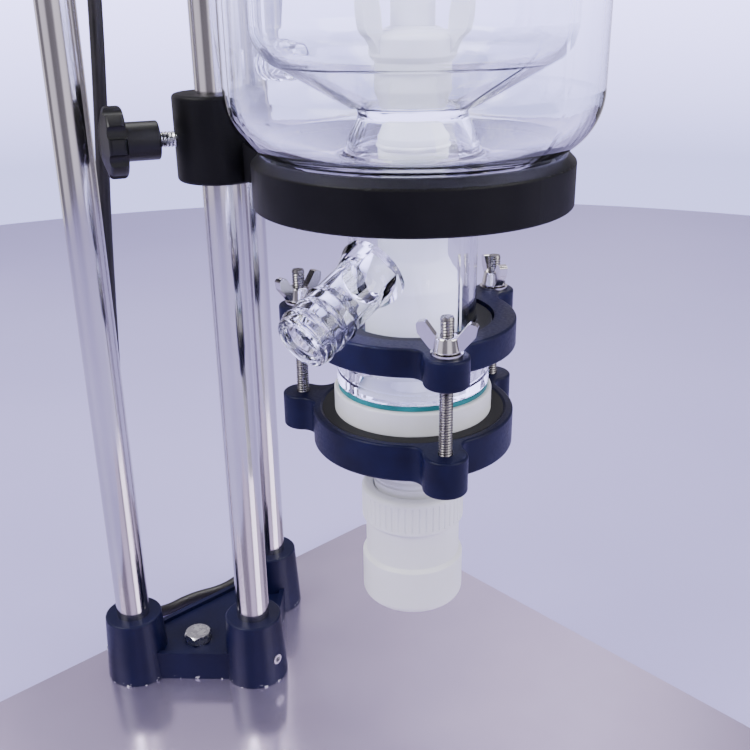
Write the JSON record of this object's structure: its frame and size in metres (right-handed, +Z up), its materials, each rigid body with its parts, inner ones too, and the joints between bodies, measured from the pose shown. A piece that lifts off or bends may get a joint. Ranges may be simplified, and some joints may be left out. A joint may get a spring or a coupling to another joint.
{
  "type": "jacketed glass reactor on a post stand",
  "caption": "Bench-top jacketed glass reactor hung in a support ring on a three-post stand, with a stirrer, a flange-clamped bottom drain valve and a motor on an arm.",
  "frame": {"origin": "on the bench, under the middle of the base plate", "axes": "+Z up; +X from the posts towards the front edge of the base plate; +Y completes a right-handed frame"},
  "size_m": [0.487, 0.44, 0.9292],
  "materials": {
    "plate_paint": "satin powder coat",
    "navy_paint": "satin enamel on castings",
    "black_paint": "fine matt powder coat",
    "stainless": "polished tube",
    "zinc_steel": "bright zinc",
    "black_plastic": "moulded, low gloss",
    "clear_glass": "clear borosilicate",
    "ptfe": "waxy white",
    "black_rubber": "matt",
    "teal_seal": "matt",
    "brown_seal": "matt",
    "white_seal": "matt silicone",
    "motor_shell": "anodised",
    "grey_plastic": "fine texture",
    "screen": "glossy window",
    "red_plastic": "gloss"
  },
  "bodies": {
    "stand": {"base_plate": "plate_paint", "base_feet": "black_rubber", "base_casting": "navy_paint", "base_bolt": "zinc_steel", "set_screws": "zinc_steel", "left_post": "stainless", "front_post": "stainless", "rear_post": "stainless", "post_caps": "black_plastic", "top_casting": "navy_paint", "motor_arm": "black_paint", "motor_fasteners": "zinc_steel", "motor_housing": "motor_shell", "controller_case": "grey_plastic", "controller_cover": "grey_plastic", "controller_screen": "screen", "controller_saddles": "black_plastic", "motor_lead": "black_rubber", "lead_glands": "black_rubber"},
    "support": {"support_boss": "black_paint", "support_ring": "black_paint", "ring_screws": "zinc_steel", "ring_liner": "black_rubber", "inner_vessel": "clear_glass", "jacket": "clear_glass", "lid": "clear_glass", "lid_seal": "brown_seal", "lid_clamp_front": "navy_paint", "lid_clamp_back": "navy_paint", "lid_clamp_screws": "zinc_steel", "stirrer_bearing": "ptfe", "lower_clamp_ring": "navy_paint", "upper_clamp_ring": "navy_paint", "lower_clamp_liner": "black_rubber", "upper_clamp_liner": "black_rubber", "drain_gasket": "teal_seal", "valve_body": "ptfe", "clamp_rods": "stainless"},
    "clamp_tip": {"clamp_pad": "zinc_steel"},
    "clamp_handle": {"clamp_screw": "zinc_steel", "clamp_knob": "black_plastic"},
    "stirrer": {"stirrer_shaft": "ptfe", "impeller": "ptfe", "coupling_lower": "motor_shell", "coupling_spider": "red_plastic"},
    "spindle": {"motor_spindle": "stainless", "coupling_upper": "motor_shell"},
    "drain_valve": {"drain_plug": "ptfe", "plug_seals": "white_seal"},
    "drain_handle": {"drain_knob": "ptfe"},
    "washer_1": {"rod_washer_1": "stainless"},
    "washer_2": {"rod_washer_2": "stainless"},
    "washer_3": {"rod_washer_3": "stainless"},
    "nut_1": {"wing_nut_1": "stainless"},
    "nut_2": {"wing_nut_2": "stainless"},
    "nut_3": {"wing_nut_3": "stainless"},
    "stopper_1": {"port_stopper_1": "ptfe"},
    "stopper_2": {"port_stopper_2": "ptfe"},
    "dial": {"speed_dial": "black_plastic"},
    "switch": {"power_switch": "red_plastic"}
  },
  "joints": [
    {"name": "support_slide", "type": "slide", "parent": "stand", "child": "support", "axis": [0, 0, 1], "range_m": [-0.04, 0]},
    {"name": "clamp_travel", "type": "slide", "parent": "support", "child": "clamp_tip", "axis": [-0.3827, -0.9239, 0], "range_m": [0, 0.004]},
    {"name": "clamp_turn", "type": "hinge", "parent": "clamp_tip", "child": "clamp_handle", "pos_m": [-0.13148, -0.02772, 0.4374], "axis": [-0.3827, -0.9239, 0], "range_deg": [0, 960]},
    {"name": "stirrer_turn", "type": "hinge", "parent": "support", "child": "stirrer", "pos_m": [0.01338, 0.04205, 0.6], "axis": [0, 0, 1], "continuous": true},
    {"name": "spindle_turn", "type": "hinge", "parent": "stand", "child": "spindle", "pos_m": [0.01338, 0.04205, 0.84], "axis": [0, 0, 1], "continuous": true},
    {"name": "drain_lift", "type": "slide", "parent": "support", "child": "drain_valve", "axis": [0, 0, 1], "range_m": [-0.01201, 0]},
    {"name": "drain_turn", "type": "hinge", "parent": "drain_valve", "child": "drain_handle", "pos_m": [0.01338, 0.04205, 0.18], "axis": [0, 0, 1], "range_deg": [0, 720]},
    {"name": "washer_1_lift", "type": "slide", "parent": "support", "child": "washer_1", "axis": [0, 0, 1], "range_m": [0, 0.00501]},
    {"name": "nut_1_turn", "type": "hinge", "parent": "washer_1", "child": "nut_1", "pos_m": [0.07714, 0.0045, 0.35], "axis": [0, 0, 1], "range_deg": [0, 1440]},
    {"name": "washer_2_lift", "type": "slide", "parent": "support", "child": "washer_2", "axis": [0, 0, 1], "range_m": [0, 0.00501]},
    {"name": "nut_2_turn", "type": "hinge", "parent": "washer_2", "child": "nut_2", "pos_m": [0.01402, 0.11605, 0.35], "axis": [0, 0, 1], "range_deg": [0, 1440]},
    {"name": "washer_3_lift", "type": "slide", "parent": "support", "child": "washer_3", "axis": [0, 0, 1], "range_m": [0, 0.00501]},
    {"name": "nut_3_turn", "type": "hinge", "parent": "washer_3", "child": "nut_3", "pos_m": [-0.05103, 0.00561, 0.35], "axis": [0, 0, 1], "range_deg": [0, 1440]},
    {"name": "stopper_1_lift", "type": "slide", "parent": "support", "child": "stopper_1", "axis": [0, 0, 1], "range_m": [0, 0.03]},
    {"name": "stopper_2_lift", "type": "slide", "parent": "support", "child": "stopper_2", "axis": [0, 0, 1], "range_m": [0, 0.03]},
    {"name": "dial_turn", "type": "hinge", "parent": "stand", "child": "dial", "pos_m": [-0.1556, 0.11846, 0.64408], "axis": [-1, 0, 0], "range_deg": [0, 270]},
    {"name": "switch_rock", "type": "hinge", "parent": "stand", "child": "switch", "pos_m": [-0.1586, 0.16214, 0.64408], "axis": [0, 1, 0], "range_deg": [0, 12]}
  ],
  "couplings": [
    {"joint": "clamp_travel", "follows": "clamp_turn", "m_per_rad": 0.00023871},
    {"joint": "spindle_turn", "follows": "stirrer_turn", "ratio": 1},
    {"joint": "drain_lift", "follows": "drain_turn", "m_per_rad": -0.00095493},
    {"joint": "washer_1_lift", "follows": "nut_1_turn", "m_per_rad": 0.00019894},
    {"joint": "washer_2_lift", "follows": "nut_2_turn", "m_per_rad": 0.00019894},
    {"joint": "washer_3_lift", "follows": "nut_3_turn", "m_per_rad": 0.00019894}
  ]
}
